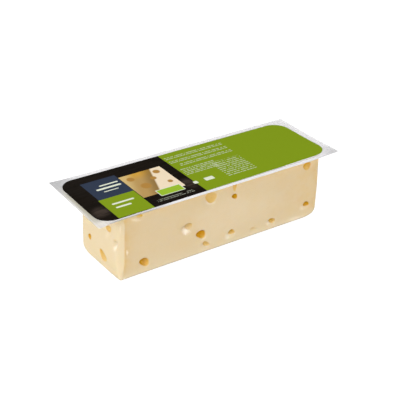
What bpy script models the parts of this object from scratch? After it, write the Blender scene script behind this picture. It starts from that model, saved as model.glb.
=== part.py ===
"""A long block of emmental in a clear deep-drawn pack, closed by a sealed lid film with a printed label.

Lengths are in metres and +Z is up. The origin is on the table, under the middle of the sealing flange.
The long front face looks along -Y, and the flange reaches furthest past the block at its -X end."""

import math
import random

import bmesh
import bpy
from mathutils import Vector

# The pack's body, over the outside of the film
BODY_LENGTH = 0.3056
BODY_WIDTH = 0.0952
FLANGE_TOP = 0.0942

# The sealing flange is a plain rectangle. The body hangs nearer to its +X end and a little nearer to its back.
FLANGE_LENGTH = 0.357
FLANGE_WIDTH = 0.119
BODY_X = 0.0097
BODY_Y = 0.0014

# Films and label
FILM = 0.0004
LID = 0.0003
LABEL = 0.0002
GAP = 0.0003

LABEL_LENGTH = 0.3404
LABEL_WIDTH = 0.1061
LABEL_X = -0.0021
LABEL_Y = -0.00105
LABEL_CORNER = 0.021
# The label is a little askew: the slope of its front edge and of its right end, and how much less its back slopes
LABEL_TURN = 0.0151
LABEL_TAPER = 0.0188

# The free film past the -X end sags and twists from here on, most at its end
OVERHANG_START = -0.147
OVERHANG_DROP = -0.0010
OVERHANG_TWIST = 0.0022

# Radius of each rounded edge of the body. An edge is named by the two sides that it joins, as the signs of
# x, y and z, with 0 along the edge. The block is cut from a larger one: its old outer edges, at the back and
# at the right, are rounder than its cut ones.
EDGE_RADIUS = {
    (0, -1, -1): 0.0036,
    (0, 1, -1): 0.019,
    (-1, 0, -1): 0.0018,
    (1, 0, -1): 0.020,
    (-1, -1, 0): 0.008,
    (1, -1, 0): 0.0095,
    (-1, 1, 0): 0.010,
    (1, 1, 0): 0.014,
}
# The cheese draws in a little further at its edges than the film does
EASE = 0.0007
EDGE_SEGMENTS = 5
# How far a cutter stands past what it cuts
CUTTER_REACH = 0.02

# Columns and rows of the cells that let a film sheet bend
OVERHANG_COLUMNS = 8
BODY_COLUMNS = 4
SHEET_ROWS = 8

# The eyes that show on the front, measured from the middle of its foot: along, up, width, height, depth and the
# angle by which the width is turned from the level
FRONT_EYES = (
    (-0.1183, 0.0162, 0.0146, 0.0102, 0.0050, -0.60),
    (-0.0553, 0.0458, 0.0116, 0.0092, 0.0030, -0.45),
    (-0.0359, 0.0286, 0.0140, 0.0110, 0.0052, -0.44),
    (-0.0275, 0.0123, 0.0112, 0.0056, 0.0020, -0.60),
    (0.0118, 0.0168, 0.0099, 0.0069, 0.0030, -0.42),
    (0.0463, 0.0104, 0.0100, 0.0055, 0.0010, -0.30),
    (0.0768, 0.0134, 0.0104, 0.0071, 0.0036, -0.45),
    (0.1326, 0.0215, 0.0094, 0.0066, 0.0038, -0.45),
    (0.1287, 0.0792, 0.0123, 0.0102, 0.0034, -0.47),
    (-0.0229, 0.0775, 0.0168, 0.0138, 0.0030, -0.60),
    (0.0133, 0.0680, 0.0088, 0.0066, 0.0044, -0.50),
    (0.0125, 0.0822, 0.0058, 0.0130, 0.0012, 0.0),
    (-0.1275, 0.0825, 0.0092, 0.0060, 0.0014, -0.30),
)
# The same on the -X end, from the middle of its foot towards +Y
LEFT_EYES = (
    (-0.0205, 0.0598, 0.0124, 0.0082, 0.0026, -0.49),
    (0.0241, 0.0262, 0.0086, 0.0064, 0.0022, -1.45),
    (-0.0063, 0.0160, 0.0150, 0.0112, 0.0028, 0.70),
    (-0.0345, 0.0490, 0.0070, 0.0080, 0.0012, 0.0),
)
# How many eyes the faces out of sight have, and the seed that places them
BACK_COUNT, BACK_SEED = 13, 11
RIGHT_COUNT, RIGHT_SEED = 5, 23
BOTTOM_COUNT, BOTTOM_SEED = 12, 37
EYE_WIDTHS = (0.006, 0.015)
EYE_MARGIN = 0.012
EYE_SPACING = 0.024
EYE_SEGMENTS = 12
EYE_RINGS = 8

CHEESE_COLOUR = (0.80, 0.62, 0.33, 1.0)
FILM_COLOUR = (0.93, 0.94, 0.95, 1.0)
LABEL_COLOUR = (0.21, 0.32, 0.015, 1.0)


def clear_scene():
    for obj in list(bpy.data.objects):
        bpy.data.objects.remove(obj)


def new_collection(name):
    collection = bpy.data.collections.new(name)
    bpy.context.scene.collection.children.link(collection)
    return collection


def material(name, colour, roughness, alpha=1.0):
    made = bpy.data.materials.new(name)
    made.use_nodes = True
    shader = made.node_tree.nodes["Principled BSDF"]
    shader.inputs["Base Color"].default_value = colour
    shader.inputs["Roughness"].default_value = roughness
    shader.inputs["Metallic"].default_value = 0.0
    shader.inputs["Alpha"].default_value = alpha
    return made


def new_object(name, bm, collection):
    mesh = bpy.data.meshes.new(name)
    bm.to_mesh(mesh)
    bm.free()
    obj = bpy.data.objects.new(name, mesh)
    collection.objects.link(obj)
    return obj


def as_cutter(obj):
    obj.hide_render = True
    obj.display_type = "WIRE"
    return obj


def add_boolean(obj, operation, other):
    modifier = obj.modifiers.new(operation.title() + " " + other.name, "BOOLEAN")
    modifier.operation = operation
    modifier.solver = "EXACT"
    modifier.object = other


def finish(obj, slot_material):
    obj.data.materials.append(slot_material)
    obj.data.shade_smooth()
    obj.data.set_sharp_from_angle(angle=0.6)


def rounded_box(name, low, high, radii, collection):
    """A box between two corners, with the edges in radii rounded."""
    largest = max(radii.values())
    bm = bmesh.new()
    bmesh.ops.create_cube(bm, size=2.0)
    weights = bm.edges.layers.float.new("bevel_weight_edge")
    for edge in bm.edges:
        middle = (edge.verts[0].co + edge.verts[1].co) / 2
        side = tuple(round(value) for value in middle)
        edge[weights] = radii.get(side, 0.0) / largest
    size = Vector(high) - Vector(low)
    bmesh.ops.scale(bm, vec=size / 2, verts=bm.verts)
    bmesh.ops.translate(bm, vec=Vector(low) + size / 2, verts=bm.verts)
    box = new_object(name, bm, collection)
    bevel = box.modifiers.new("Rounded edges", "BEVEL")
    bevel.limit_method = "WEIGHT"
    bevel.width = largest
    bevel.segments = EDGE_SEGMENTS
    bevel.use_clamp_overlap = False
    return box


def body_corners(inset, top):
    """The two corners of the body, this far inside the film's outer surface and up to the given level."""
    low = Vector((BODY_X - BODY_LENGTH / 2 + inset, BODY_Y - BODY_WIDTH / 2 + inset, inset))
    high = Vector((BODY_X + BODY_LENGTH / 2 - inset, BODY_Y + BODY_WIDTH / 2 - inset, top))
    return low, high


def body_box(name, inset, top, collection, ease=0.0):
    """The body's shape, this far inside the film's outer surface and up to the given level."""
    low, high = body_corners(inset, top)
    radii = {edge: radius - inset + ease for edge, radius in EDGE_RADIUS.items()}
    return rounded_box(name, low, high, radii, collection)


def overhang_lift(x, y):
    """How far the film past the -X end of the body bends up from the flat."""
    reach = OVERHANG_START + FLANGE_LENGTH / 2
    past = max(0.0, OVERHANG_START - x) / reach
    return past**2 * (OVERHANG_DROP + OVERHANG_TWIST * 2 * y / FLANGE_WIDTH)


def sheet(name, level, thickness, collection):
    """A film as large as the flange, with its underside at this level, bent at its overhang."""
    columns = OVERHANG_COLUMNS + BODY_COLUMNS
    bm = bmesh.new()
    bmesh.ops.create_grid(bm, x_segments=columns, y_segments=SHEET_ROWS, size=1.0)
    left, start, right = -FLANGE_LENGTH / 2, OVERHANG_START, FLANGE_LENGTH / 2
    for vertex in bm.verts:
        column = (vertex.co.x + 1) / 2 * columns
        if column <= OVERHANG_COLUMNS:
            x = left + (start - left) * column / OVERHANG_COLUMNS
        else:
            x = start + (right - start) * (column - OVERHANG_COLUMNS) / BODY_COLUMNS
        y = vertex.co.y * FLANGE_WIDTH / 2
        vertex.co = (x, y, level + overhang_lift(x, y))
    film = new_object(name, bm, collection)
    solidify = film.modifiers.new("Thickness", "SOLIDIFY")
    solidify.thickness = thickness
    solidify.offset = 1.0
    return film


def scattered_eyes(count, seed, length, low, high):
    """Eyes for a face out of sight, spread unevenly over length, between two levels."""
    draw = random.Random(seed)
    eyes = []
    while len(eyes) < count:
        along = draw.uniform(-length / 2 + EYE_MARGIN, length / 2 - EYE_MARGIN)
        up = draw.uniform(low + EYE_MARGIN, high - EYE_MARGIN)
        width = draw.uniform(*EYE_WIDTHS)
        height = width * draw.uniform(0.8, 1.2)
        depth = width * draw.uniform(0.2, 0.45)
        apart = [Vector((along - eye[0], up - eye[1])).length for eye in eyes]
        if min(apart, default=length) > EYE_SPACING:
            eyes.append((along, up, width, height, depth, 0.0))
    return eyes


def eye_cutters(block_low, block_high, collection):
    """One mesh of ellipsoids, each centred on a face of the block, whose inner halves are the eyes."""
    middle_x, middle_y = (block_low.x + block_high.x) / 2, (block_low.y + block_high.y) / 2
    length, width = block_high.x - block_low.x, block_high.y - block_low.y
    height = block_high.z - block_low.z
    front = Vector((middle_x, block_low.y, 0.0))
    back = Vector((middle_x, block_high.y, 0.0))
    left = Vector((block_low.x, middle_y, 0.0))
    right = Vector((block_high.x, middle_y, 0.0))
    bottom = Vector((middle_x, middle_y, block_low.z))
    along_x, along_y, along_z = Vector((1, 0, 0)), Vector((0, 1, 0)), Vector((0, 0, 1))
    faces = (
        (front, along_x, along_z, FRONT_EYES),
        (left, along_y, along_z, LEFT_EYES),
        (back, along_x, along_z, scattered_eyes(BACK_COUNT, BACK_SEED, length, block_low.z, height)),
        (right, along_y, along_z, scattered_eyes(RIGHT_COUNT, RIGHT_SEED, width, block_low.z, height)),
        (bottom, along_x, along_y, scattered_eyes(BOTTOM_COUNT, BOTTOM_SEED, length, -width / 2, width / 2)),
    )
    bm = bmesh.new()
    for origin, across, upward, eyes in faces:
        normal = across.cross(upward)
        for along, up, eye_width, eye_height, depth, turn in eyes:
            made = bmesh.ops.create_uvsphere(bm, u_segments=EYE_SEGMENTS, v_segments=EYE_RINGS, radius=1.0)
            centre = origin + across * along + upward * up
            wide = across * math.cos(turn) + upward * math.sin(turn)
            tall = upward * math.cos(turn) - across * math.sin(turn)
            for vertex in made["verts"]:
                unit = vertex.co.copy()
                vertex.co = (
                    centre
                    + wide * (unit.x * eye_width / 2)
                    + tall * (unit.y * eye_height / 2)
                    + normal * (unit.z * depth)
                )
    bmesh.ops.recalc_face_normals(bm, faces=bm.faces)
    return as_cutter(new_object("eye_cutters", bm, collection))


def make_cheese(parts, cutters):
    inset = FILM + GAP
    block = body_box("cheese_block", inset, FLANGE_TOP, parts, EASE)
    low, high = body_corners(inset, FLANGE_TOP)
    add_boolean(block, "DIFFERENCE", eye_cutters(low, high, cutters))
    finish(block, material("cheese", CHEESE_COLOUR, 0.45))


def make_formed_film(parts, cutters):
    """The deep-drawn lower film: a tray that hugs the block, with a flat flange round its mouth."""
    tray = body_box("formed_film", 0.0, FLANGE_TOP - FILM / 2, parts)
    flange = as_cutter(sheet("flange_sheet", FLANGE_TOP - FILM, FILM, cutters))
    above_flange = FLANGE_TOP + CUTTER_REACH
    hollow = as_cutter(body_box("tray_hollow", FILM, above_flange, cutters))
    add_boolean(tray, "UNION", flange)
    add_boolean(tray, "DIFFERENCE", hollow)
    finish(tray, material("formed_film", FILM_COLOUR, 0.12, 0.3))


def make_lid(parts):
    lid = sheet("lid_film", FLANGE_TOP + GAP, LID, parts)
    finish(lid, material("lid_film", FILM_COLOUR, 0.12, 0.3))


def make_label(parts, cutters):
    """The printed label, cut from a sheet by a prism with rounded corners that lies askew."""
    label = sheet("label", FLANGE_TOP + GAP + LID + GAP, LABEL, parts)
    half = Vector((LABEL_LENGTH / 2, LABEL_WIDTH / 2, CUTTER_REACH))
    middle = Vector((LABEL_X, LABEL_Y, FLANGE_TOP))
    corners = {(x, y, 0): LABEL_CORNER for x in (-1, 1) for y in (-1, 1)}
    outline = as_cutter(rounded_box("label_outline", middle - half, middle + half, corners, cutters))
    for vertex in outline.data.vertices:
        x, y = vertex.co.x, vertex.co.y
        vertex.co.x = x - (LABEL_TURN if x > 0 else 0.0) * y
        vertex.co.y = y + (LABEL_TURN if y < 0 else LABEL_TURN - LABEL_TAPER) * x
    add_boolean(label, "INTERSECT", outline)
    finish(label, material("label", LABEL_COLOUR, 0.3))


def main():
    clear_scene()
    parts = new_collection("emmental_block")
    cutters = new_collection("cutters")
    make_cheese(parts, cutters)
    make_formed_film(parts, cutters)
    make_lid(parts)
    make_label(parts, cutters)


main()
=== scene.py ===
"""The looks of a long block of emmental in a clear deep-drawn pack with a printed label.

Lengths are in metres, in the frame of the CAD. The cheese, the formed film under and round it, the lid
film and the label are one piece each, and each stands for the CAD node of the same part."""

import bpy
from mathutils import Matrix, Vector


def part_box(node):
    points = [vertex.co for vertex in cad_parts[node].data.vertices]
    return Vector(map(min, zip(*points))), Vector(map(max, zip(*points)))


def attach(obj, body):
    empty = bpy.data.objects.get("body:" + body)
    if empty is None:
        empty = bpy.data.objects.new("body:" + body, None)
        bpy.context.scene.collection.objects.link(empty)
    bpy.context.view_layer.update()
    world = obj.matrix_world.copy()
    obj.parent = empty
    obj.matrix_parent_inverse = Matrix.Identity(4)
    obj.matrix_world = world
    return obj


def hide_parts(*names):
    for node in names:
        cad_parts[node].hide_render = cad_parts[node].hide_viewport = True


bl_info = {
    "name": "Emmental Block Pack",
    "version": (1, 0, 0),
    "blender": (4, 5, 0),
    "location": "3D View > Sidebar > Cheese Pack",
    "description": "Builds a packed block of emmental, its films, its label and a studio round it",
    "category": "Add Mesh",
}

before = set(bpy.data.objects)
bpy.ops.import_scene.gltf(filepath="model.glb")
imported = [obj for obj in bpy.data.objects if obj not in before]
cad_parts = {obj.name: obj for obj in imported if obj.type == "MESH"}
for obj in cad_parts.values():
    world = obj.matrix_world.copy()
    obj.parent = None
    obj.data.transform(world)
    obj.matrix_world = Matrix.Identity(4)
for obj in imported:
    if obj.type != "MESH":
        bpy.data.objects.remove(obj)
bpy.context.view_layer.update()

import math
import random
from collections import namedtuple
from functools import cached_property

import bpy
import numpy as np
from bpy.props import FloatProperty, FloatVectorProperty, IntProperty, PointerProperty
from mathutils import Matrix, Vector, geometry

# The CAD nodes that the pieces stand for
CHEESE_LOW, CHEESE_HIGH = (np.array(corner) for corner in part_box("cheese_block"))
FLANGE_LOW, FLANGE_HIGH = (np.array(corner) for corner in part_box("formed_film"))

# The body of the formed film, outside: its middle on the pack, and its lowest and highest corner
BODY_X, BODY_Y = 0.0097, 0.0014
BODY_LOW = np.array((-0.1431, -0.0462, 0.0))
BODY_HIGH = np.array((0.1625, 0.0490, 0.0942))
# How far inside the outer face of the film the cheese starts, and the radius of its upper edge
CHEESE_GAP, CHEESE_TOP_RADIUS = 0.0003, 0.0015
# Heights of the flange's upper face and of the undersides of the lid film and of the label
FLANGE_FACE, LID_FACE, LABEL_FACE = 0.09415, 0.09422, 0.09437
# The right end leans out towards its foot: how far, along which length, and from which height down
END_LEAN, LEAN_LENGTH = 0.0021, 0.035
LEAN_TOP, LEAN_HEIGHT = 0.088, 0.045

# Radius of each rounded edge of the body, named by the signs of the two sides that it joins. The near
# upright one isn't here, because it has a flat
EDGE_RADIUS = {
    (0, -1, -1): 0.0034,
    (0, 1, -1): 0.019,
    (-1, 0, -1): 0.0014,
    (1, 0, -1): 0.020,
    (1, -1, 0): 0.0095,
    (-1, 1, 0): 0.010,
    (1, 1, 0): 0.014,
}
# The least radius of an inset edge, and what keeps two shares from both being none
LEAST_RADIUS, TINY = 0.001, 1e-12
# How far the flat on the near upright edge reaches along the end and along the long face, its smallest
# share of that, and between which heights it grows from that and shrinks again
NEAR_FLAT_END, NEAR_FLAT_SIDE, NEAR_FLAT_LEAST = 0.0090, 0.0060, 0.3
NEAR_FLAT_GROWS, NEAR_FLAT_SHRINKS = (0.001, 0.024), (0.0945, 0.074)
# Width over which its creases towards the end and towards the long face are eased
NEAR_CREASE_END, NEAR_CREASE_SIDE = 0.0030, 0.0009
# Beside the rounded edges, the block's shape is looked for from a core this far inside it
CORE = 0.026
# How near a corner the foot's radius starts to change from one side's to the next
CORNER_BLEND = 0.022
# Grids of the cheese's faces and of the film's: fine steps beside the edges, coarse ones between, and how
# far from the edges they become coarse
CHEESE_GRID, FILM_GRID = (0.0008, 0.0024, 0.024), (0.0010, 0.0036, 0.020)
FILM_SPOKES = 24
# How many halvings find the shape's surface, and the step that measures its slope there
HALVINGS, SLOPE_STEP = 36, 2e-5

# Tips of the flange that are painted greyer, as a painted reflection: the left back one and the right front
# one, how far and how much
GREY_TIPS = (((-0.1785, 0.0595, 0.0), 0.055, 0.95), ((0.1785, -0.0595, 0.0), 0.030, 0.6))
# The corner where the free film droops most, which is striped with grey
DROOPING_CORNER = (-0.1785, -0.0595, 0.0)
# Radii of the flange's corners, from the right front one, counterclockwise
FLANGE_CORNERS = (0.0015, 0.0015, 0.0015, 0.0032)
# Zones of the flange: warm beside the label's dark end, grey on the outermost front as a painted shadow line,
# and milky on the front.
# Each band has its axis, where it starts and where it is full, and may have its least and its full share
WARM_END = (
    ("X", -0.1650, -0.1685), ("X", -0.1790, -0.1720, 0.35, 0.95), ("Y", 0.050, 0.015), ("Y", -0.054, -0.036),
)
GREY_FRONT = (("Y", -0.0570, -0.0580),)
GREY_FRONT_LEFT = (("Y", -0.0575, -0.0585), ("X", -0.080, -0.110, 0.0, 0.9), ("X", -0.172, -0.160))
MILKY_FRONT = (("Y", -0.0545, -0.0555), ("X", -0.130, -0.070), ("X", 0.160, 0.140))
# How much smaller the films are than the flange in the CAD, all round, and how far apart their points lie
TRIM, SHEET_STEP = 0.0001, 0.004
# The free film past the -X end sags and twists from here on, as in the CAD
OVERHANG_START = -0.147
OVERHANG_DROP = -0.0010
OVERHANG_TWIST = 0.0022
# How far the right front tip lifts, and from where on along and across
TIP_LIFT, TIP_START = 0.0014, (0.125, 0.005)
# How high the flange ripples, and between which distances from the body this sets in; and how much the
# walls do
RIPPLE, RIPPLE_ZONE, RUFFLE = 0.00022, (0.002, 0.016), 0.00003
# The thin film lies this far inside the CAD's, and turns out into the flange in so many steps
FILM_INSET, TURN_STEPS = 0.00005, 5
# The film is milky from this far below the flange's face on, and begins to be so this much further down
MILKY_BELOW, MILKY_RISE = 0.0004, 0.0006
# The free film is as milky beside its edges as elsewhere from here on
MILKY_EDGE_END = -0.150
# Between these depths of a dimple the film gets its wet gloss
WET_DEPTHS = (0.0001, 0.0006)

# An eye: its middle on a face, width, height and depth, how amber it is inside, how far it is turned,
# how deep the vacuum draws the film and the cheese's rim beside it, and the directions of its steep dark
# side, which is painted darker as shade, and of one corner
Eye = namedtuple("Eye", "along up width height depth tone turn dip dark corner")
FRONT_EYES = (
    Eye(-0.1183, 0.0162, 0.0146, 0.0102, 0.0050, 0.84, -0.60, 0.0003, 2.60, 2.98),
    Eye(-0.0553, 0.0458, 0.0116, 0.0094, 0.0030, 0.35, -0.45, 0.0020, 1.31, 0.71),
    Eye(-0.0359, 0.0286, 0.0140, 0.0110, 0.0052, 1.00, -0.44, 0.0003, 2.44, 2.99),
    Eye(-0.0275, 0.0123, 0.0112, 0.0064, 0.0020, 0.50, -0.60, 0.0010, 2.07, -0.31),
    Eye(0.0118, 0.0168, 0.0099, 0.0069, 0.0030, 0.76, -0.42, 0.0012, 1.72, 1.63),
    Eye(0.0463, 0.0104, 0.0100, 0.0055, 0.0008, 0.18, -0.30, 0.0006, 1.65, -0.31),
    Eye(0.0768, 0.0134, 0.0104, 0.0071, 0.0036, 0.78, -0.45, 0.0011, 1.83, 2.47),
    Eye(0.1326, 0.0215, 0.0094, 0.0066, 0.0038, 1.00, -0.45, 0.0005, 1.68, 1.68),
    Eye(0.1287, 0.0788, 0.0123, 0.0106, 0.0024, 0.76, -0.47, 0.0004, 2.16, -1.46),
    Eye(-0.0229, 0.0770, 0.0168, 0.0148, 0.0020, 0.50, -0.60, 0.0008, -2.43, -1.61),
    Eye(0.0133, 0.0680, 0.0088, 0.0066, 0.0044, 1.10, -0.50, 0.0002, 1.81, 0.97),
    Eye(0.0125, 0.0822, 0.0058, 0.0130, 0.0010, 0.62, 0.0, 0.0003, 1.64, -1.51),
    Eye(-0.1262, 0.0829, 0.0080, 0.0056, 0.0014, 0.55, -0.30, 0.0009, 0.26, -0.30),
)
LEFT_EYES = (
    Eye(-0.0205, 0.0598, 0.0124, 0.0082, 0.0020, 0.60, -0.49, 0.0003, 1.58, 2.15),
    Eye(0.0241, 0.0262, 0.0086, 0.0064, 0.0015, 0.95, -1.45, 0.0002, 1.60, 2.16),
    Eye(-0.0073, 0.0154, 0.0166, 0.0114, 0.0026, 0.56, 0.70, 0.0004, 0.86, 0.86),
    Eye(-0.0345, 0.0490, 0.0070, 0.0080, 0.0010, 0.14, 0.0, 0.0018, 1.58, 2.66),
)
# A whitish patch of painted light, most of them painted highlights where the film is drawn in beside an eye:
# middle, width, height, turn and strength
Patch = namedtuple("Patch", "along up width height turn strength corner", defaults=(0.0,))
FRONT_PAINTED_HIGHLIGHTS = (
    Patch(-0.0590, 0.0400, 0.0160, 0.0096, -0.45, 1.00),
    Patch(0.0050, 0.0122, 0.0135, 0.0090, -0.69, 0.50),
    Patch(0.0704, 0.0111, 0.0100, 0.0060, -0.54, 0.60),
    Patch(0.1265, 0.0171, 0.0120, 0.0072, -0.53, 0.35),
    Patch(-0.0240, 0.0700, 0.0190, 0.0070, -0.33, 0.55),
    Patch(-0.1312, 0.0786, 0.0170, 0.0046, -0.33, 0.45),
    Patch(-0.0315, 0.0223, 0.0090, 0.0080, 0.04, 0.35),
    Patch(-0.1428, 0.0378, 0.0077, 0.0030, -1.53, 1.00),
    Patch(-0.1468, 0.0023, 0.0050, 0.0030, -0.13, 1.00),
    Patch(0.1162, 0.0046, 0.0330, 0.0080, -0.06, 0.45),
    Patch(0.0080, 0.0430, 0.1700, 0.0800, -0.10, 0.13),
)
LEFT_PAINTED_HIGHLIGHTS = (
    Patch(-0.0350, 0.0408, 0.0150, 0.0070, -1.05, 0.55),
    Patch(-0.0485, 0.0713, 0.0220, 0.0110, -1.35, 0.35),
    Patch(-0.0174, 0.0498, 0.0200, 0.0070, -1.02, 0.20),
)
# How many eyes the faces out of sight have, and the seed that places them, as in the CAD
BACK_COUNT, BACK_SEED = 13, 11
RIGHT_COUNT, RIGHT_SEED = 5, 23
BOTTOM_COUNT, BOTTOM_SEED = 12, 37
# Their widths, their heights and depths as shares of the width, and how far they keep from the edges and
# from each other
EYE_WIDTHS, EYE_HEIGHTS, EYE_DEPTHS = (0.006, 0.015), (0.8, 1.2), (0.2, 0.45)
EYE_MARGIN = 0.012
EYE_SPACING = 0.024
# By which shares an eye's outline strays from an ellipse, twice and three times round
EYE_WOBBLE = (0.04, 0.08)

# From the middle of an eye (0) over its rim (1) to the flat: how deep the cheese lies, as a share of the
# depth
EYE_BOWL = (
    (0.0, 1.0), (0.18, 0.984), (0.34, 0.94), (0.50, 0.866), (0.64, 0.768), (0.76, 0.65), (0.85, 0.527),
    (0.91, 0.415), (0.95, 0.312), (0.98, 0.222), (1.01, 0.142), (1.05, 0.078), (1.10, 0.034), (1.16, 0.01),
    (1.24, 0.0),
)
# How amber it is on the way, on its steep side and on its gentle one, and how much more and less so there:
# painted shade on the steep side and painted light on the gentle one
AMBER_STEEP = ((0.0, 1.0), (0.92, 1.0), (1.02, 0.5), (1.10, 0.0))
AMBER_GENTLE = ((0.0, 1.0), (0.50, 0.9), (0.85, 0.5), (1.12, 0.0))
EYE_PAINTED_SHADE, EYE_PAINTED_LIGHT = 0.8, 0.35
# Between these depths of the dimple beside it an eye's gentle side turns from crisp to faded
DRAWN_DIPS = (0.0004, 0.0014)
# How deep the film's dimple is from its middle over its rim to the flat, which is the eye's gentle side
# too, how much wider it is than the eye, and how far aside, as shares of the eye's width and height
DIMPLE_WIDTH, DIMPLE_ASIDE = 1.5, (-0.25, -0.36)
DIMPLE = (
    (0.0, 1.0), (0.25, 0.97), (0.45, 0.87), (0.62, 0.68), (0.76, 0.45), (0.88, 0.25), (0.99, 0.11),
    (1.10, 0.035), (1.24, 0.0),
)
# To how many digits points share a place, and from which angle on a sheet's edge is crisp
PLACE_DIGITS, CRISP_ANGLE = 8, math.radians(50)
# Wavelengths of the faces' unevenness, with the weight of each
WAVES = ((0.11, 0.45), (0.06, 0.3), (0.034, 0.25))
# Seeds of the cheese's unevenness and of the walls', and how much shorter the walls' waves are
WAVES_SEED, RUFFLE_SEED, RUFFLE_SHORTER = 5, 9, 2.5

# Faces of a block: name, the two axes that it spans, the axis that it faces, which side, and whether its
# triangles are turned round to face outward
FACES = (
    ("front", 0, 2, 1, -1, False),
    ("back", 0, 2, 1, 1, True),
    ("left", 1, 2, 0, -1, True),
    ("right", 1, 2, 0, 1, False),
    ("bottom", 0, 1, 2, -1, True),
    ("top", 0, 1, 2, 1, False),
)

# The label is a little askew, as in the CAD: the slope of its front edge and of its right end, and how
# much less its back slopes
LABEL_LOW, LABEL_HIGH = np.array((-0.1723, -0.0541)), np.array((0.1681, 0.0520))
LABEL_TURN, LABEL_TAPER = 0.0151, 0.0188
# How far apart the label's points lie round it and inside it
LABEL_EDGE_STEP, LABEL_STEP = 0.003, 0.005

# The printed fields of the label: where the dark end stops, the radius that a sharp corner has in the print,
# and each field's middle, size and corner radius
BLACK_END = -0.0271
SHARP_CORNER = 1e-6
NAVY_PANEL = ((-0.1249, 0.01415), (0.0478, 0.0449), 0.0)
GREEN_PANEL = ((-0.1257, -0.03165), (0.0485, 0.0467), 0.0)
PICTURE = ((-0.0708, -0.001), (0.0595, 0.058), 0.0)
# How far the bands of the picture slant, and where each of its colours blends in, and how much
PICTURE_SLANT = -0.35
PICTURE_BANDS = (
    ("picture_left", -0.088, -0.104, 0.8),
    ("picture_dark", -0.084, -0.066, 0.75),
    ("picture_light", -0.0668, -0.0642, 1.0),
)
# Plain shapes of print: a light green badge with its edge, and small white plates
BADGE_EDGE = ((-0.0630, -0.0300), (0.0345, 0.0150), 0.0)
BADGE = ((-0.0630, -0.0300), (0.0325, 0.0130), 0.0)
PLATES = (
    ((-0.0262, -0.0300), (0.0060, 0.0060), 0.0012),
    ((-0.0060, -0.0300), (0.0130, 0.0075), 0.0012),
)
# Plain bars on the two panels
NAVY_BARS = (
    ((-0.1180, 0.0215), (0.0260, 0.0026), 0.0013),
    ((-0.1220, 0.0140), (0.0340, 0.0036), 0.0018),
    ((-0.1230, 0.0065), (0.0200, 0.0016), 0.0008),
)
GREEN_BARS = (
    ((-0.1255, -0.0240), (0.0300, 0.0032), 0.0016),
    ((-0.1300, -0.0330), (0.0210, 0.0032), 0.0016),
)
# Discs in the picture field: middle and radius
PICTURE_DISCS = (
    ((-0.0900, 0.0165), 0.0052),
    ((-0.0820, -0.0060), 0.0070),
    ((-0.0640, 0.0060), 0.0042),
    ((-0.0520, 0.0180), 0.0048),
    ((-0.0505, -0.0110), 0.0036),
)
# Where light falls on the dark boards: middle and size
WOOD_LIGHT = (((-0.1600, -0.0330), (0.0300, 0.0320)), ((-0.0350, -0.0270), (0.0240, 0.0340)))
# Rows of fine broken lines: middle, size, distance from row to row, line width as a share of it, and how
# strongly they show
LINE_BLOCKS = (
    ((0.0190, 0.0405), (0.0880, 0.0072), 0.0036, 0.40, 0.55),
    ((0.0190, 0.0295), (0.0880, 0.0072), 0.0036, 0.40, 0.55),
    ((0.0230, 0.0185), (0.0800, 0.0072), 0.0036, 0.40, 0.55),
    ((0.0010, 0.0000), (0.0500, 0.0180), 0.0036, 0.40, 0.55),
    ((0.0400, -0.0175), (0.0440, 0.0400), 0.0044, 0.34, 0.55),
    ((-0.0650, -0.0440), (0.0520, 0.0066), 0.0033, 0.40, 0.35),
)

# The camera: how far it is turned, where it looks and from how far, and its lens
CAMERA_YAW = math.radians(36.40)
CAMERA_PITCH = math.radians(29.30)
CAMERA_ROLL = math.radians(2.41)
CAMERA_TARGET = Vector((0.0052, 0.00235, 0.045))
CAMERA_DISTANCE = 1.35876
CAMERA_LENS = 96.345
CAMERA_SENSOR = 36.0
# Direction of the brightest part of the sky
SKY_BRIGHTEST = (-0.62, -0.55, 0.56)
# Softboxes: name, the setting that gives the power and the share of it, place, and width and height
SOFTBOXES = (
    ("key_softbox", "key", 1.0, (-1.55, -0.85, 0.62), (1.0, 1.0)),
    ("far_softbox", "fill", 1.0, (0.10, 1.60, 0.25), (1.2, 0.5)),
    ("end_softbox", "fill", 1.0, (1.60, 0.25, 0.25), (0.8, 0.5)),
    ("front_softbox", "front", 1.0, (-0.60, -1.35, 0.80), (0.9, 0.9)),
    ("right_softbox", "side", 1.0, (1.40, -1.15, 0.24), (0.72, 0.46)),
    ("back_softbox", "side", 0.9, (-1.25, 1.25, 0.19), (0.70, 0.34)),
)
LIGHTS_AIM = Vector((0, 0, 0.05))
FLOOR_HALF_SIDE = 60.0


def colour_property(name, description, default):
    """A colour that a user may change."""
    return FloatVectorProperty(
        name=name, description=description, default=default, min=0.0, max=1.0, subtype="COLOR"
    )


def length_property(name, description, default, low, high):
    """A length between two limits."""
    return FloatProperty(
        name=name, description=description, default=default, min=low, max=high, precision=5, unit="LENGTH"
    )


def share_property(name, description, default, high=1.0):
    """A share from none to a limit."""
    return FloatProperty(
        name=name, description=description, default=default, min=0.0, max=high, subtype="FACTOR"
    )


def power_property(name, description, default):
    """The power of a light."""
    return FloatProperty(name=name, description=description, default=default, min=0.0, unit="POWER")


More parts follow.
